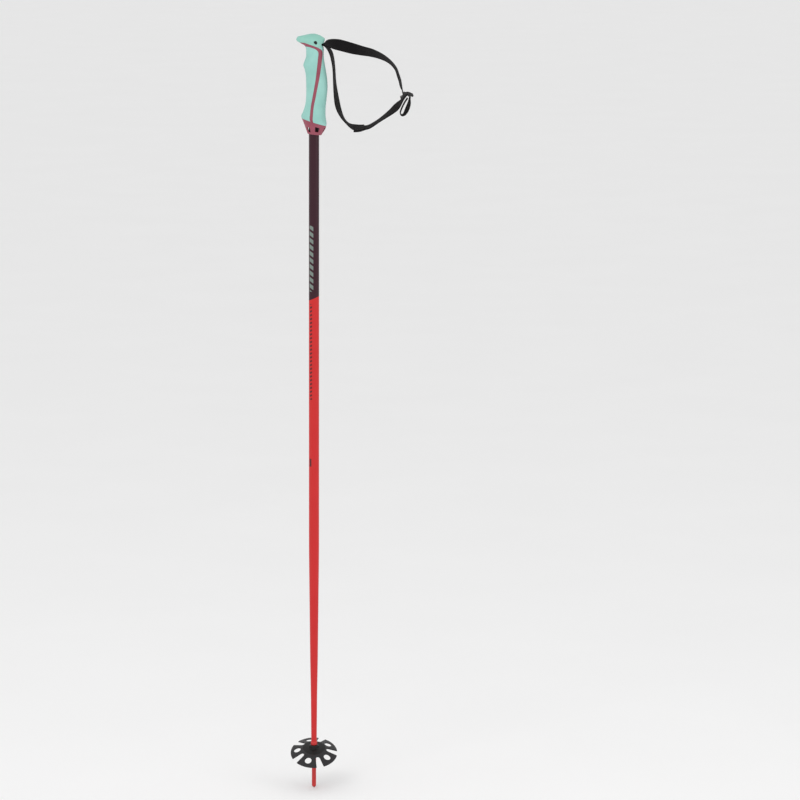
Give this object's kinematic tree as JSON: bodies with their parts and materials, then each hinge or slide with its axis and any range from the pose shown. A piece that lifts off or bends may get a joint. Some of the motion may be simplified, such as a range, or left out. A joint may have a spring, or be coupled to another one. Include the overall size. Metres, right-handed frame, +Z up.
{
  "type": "ski pole",
  "caption": "Alpine ski pole: tapered tube, hooked two-material grip with a bell flange, adjustable wrist strap, petal basket and a steel tip.",
  "frame": {"origin": "centre of the tip's flat end face, on the shaft axis", "axes": "+Z up the shaft from the tip to the grip; -X towards the beak of the grip, which faces forwards in use; the wrist strap leaves the grip at +X"},
  "size_m": [0.2143, 0.0773, 1.35],
  "materials": {
    "shaft_paint": "lacquered tube, plum above and red below, satin",
    "ferrule_red": "smooth moulded nylon",
    "tip_steel": "hardened steel insert",
    "basket_plastic": "flexible moulded plastic, satin",
    "frame_rose": "hard moulded core of the grip",
    "pad_mint": "soft-touch over-moulding",
    "cap_mint": "moulded cap, fine texture",
    "screw_black": "blackened steel",
    "webbing_black": "woven nylon webbing",
    "thread_black": "bonded polyester thread",
    "slider_black": "moulded acetal",
    "black_plastic": "moulded end plug"
  },
  "bodies": {
    "pole": {"ferrule": "ferrule_red", "front_pad": "pad_mint", "grip_frame": "frame_rose", "head_cap": "cap_mint", "rear_pad": "pad_mint", "shaft": "shaft_paint", "shaft_plug": "black_plastic", "strap_barrel": "screw_black", "strap_root": "webbing_black", "strap_screw": "screw_black", "tip_insert": "tip_steel"},
    "wrist_strap": {"strap_upper_run": "webbing_black", "strap_grip_run": "webbing_black", "strap_lower_run": "webbing_black", "strap_slider": "slider_black", "overlap_stitching": "thread_black", "slider_stitching": "thread_black"},
    "strap_tail": {"strap_tail_loop": "webbing_black", "tail_stitching": "thread_black"},
    "basket_disc": {"basket": "basket_plastic"}
  },
  "joints": [
    {"name": "strap_swing", "type": "hinge", "parent": "pole", "child": "wrist_strap", "pos_m": [0.0157, 0, 1.331], "axis": [0, 1, 0], "range_deg": [-5, 4], "stiffness_Nm_per_rad": 0.6},
    {"name": "tail_swing", "type": "hinge", "parent": "wrist_strap", "child": "strap_tail", "pos_m": [0.1664, 0, 1.2385], "axis": [0, 1, 0], "range_deg": [-25, 3], "stiffness_Nm_per_rad": 0.02},
    {"name": "basket_turn", "type": "hinge", "parent": "pole", "child": "basket_disc", "pos_m": [0, 0, 0.07], "axis": [0, 0, 1], "continuous": true}
  ]
}
